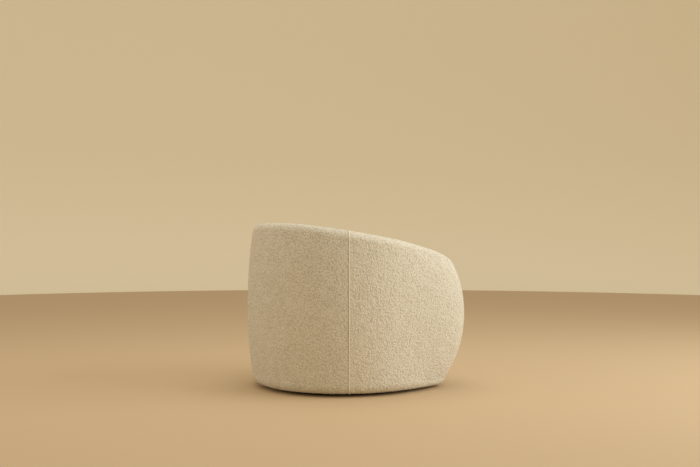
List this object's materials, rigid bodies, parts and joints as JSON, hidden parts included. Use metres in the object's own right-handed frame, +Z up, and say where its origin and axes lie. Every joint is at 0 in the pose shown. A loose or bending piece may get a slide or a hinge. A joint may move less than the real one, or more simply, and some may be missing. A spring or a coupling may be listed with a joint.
{
  "type": "upholstered armchair",
  "caption": "Low round-backed upholstered tub armchair with a falling padded rim, a loose seat cushion and a hidden round swivel base.",
  "frame": {"origin": "on the floor, under the middle of the chair's bounding box", "axes": "+Z up, +Y towards the back of the chair, -Y towards the open front, +X to the right as seen from the open front; left and right in node names are as seen from the open front"},
  "size_m": [0.772, 0.8194, 0.6686],
  "materials": {
    "boucle": "cream looped boucle",
    "deck_lining": "plain woven lining",
    "black_lining": "thin black non-woven cloth",
    "wadding": "soft polyester wadding",
    "foam": "open-cell foam",
    "felt": "pressed felt",
    "black_wood": "black lacquer",
    "plywood": "bare plywood",
    "fibreboard": "thin bent fibreboard",
    "plate_steel": "zinc plated",
    "spring_steel": "oiled spring steel",
    "clip_plastic": "moulded nylon",
    "zip_tape": "woven tape with coil teeth"
  },
  "bodies": {
    "base": {"plinth": "black_wood", "glides": "felt", "lower_bearing_plate": "plate_steel", "lower_plate_screws": "plate_steel", "bearing_balls": "plate_steel", "ball_cage": "clip_plastic"},
    "shell": {"upper_bearing_plate": "plate_steel", "upper_plate_bolts": "plate_steel", "bottom_board": "plywood", "lower_uprights": "plywood", "corner_blocks": "plywood", "seat_frame": "plywood", "upper_uprights": "plywood", "top_rail": "plywood", "front_rail": "plywood", "backing_board": "fibreboard", "support_board": "fibreboard", "seat_springs": "spring_steel", "spring_clips": "clip_plastic", "tie_wires": "spring_steel", "spring_cover_cloth": "black_lining", "seat_deck_pad": "foam", "deck_cloth": "deck_lining", "back_wadding": "wadding", "left_wadding": "wadding", "right_wadding": "wadding", "rim_pad": "foam", "inside_back_pad": "foam", "inside_left_pad": "foam", "inside_right_pad": "foam", "left_arm_front_pad": "foam", "right_arm_front_pad": "foam", "front_border_pad": "foam", "outside_back_cover": "boucle", "outside_left_cover": "boucle", "outside_right_cover": "boucle", "inside_back_cover": "boucle", "inside_left_cover": "boucle", "inside_right_cover": "boucle", "left_arm_front_cover": "boucle", "right_arm_front_cover": "boucle", "front_border_cover": "boucle", "dust_cover": "black_lining"},
    "cushion": {"cushion_core": "foam", "cushion_cover": "boucle", "cushion_zip": "zip_tape"}
  },
  "joints": [
    {"name": "swivel", "type": "hinge", "parent": "base", "child": "shell", "pos_m": [0, 0.02, 0], "axis": [0, 0, 1], "continuous": true},
    {"name": "cushion_lift", "type": "slide", "parent": "shell", "child": "cushion", "axis": [0, 0, 1], "range_m": [0, 0.4]}
  ]
}
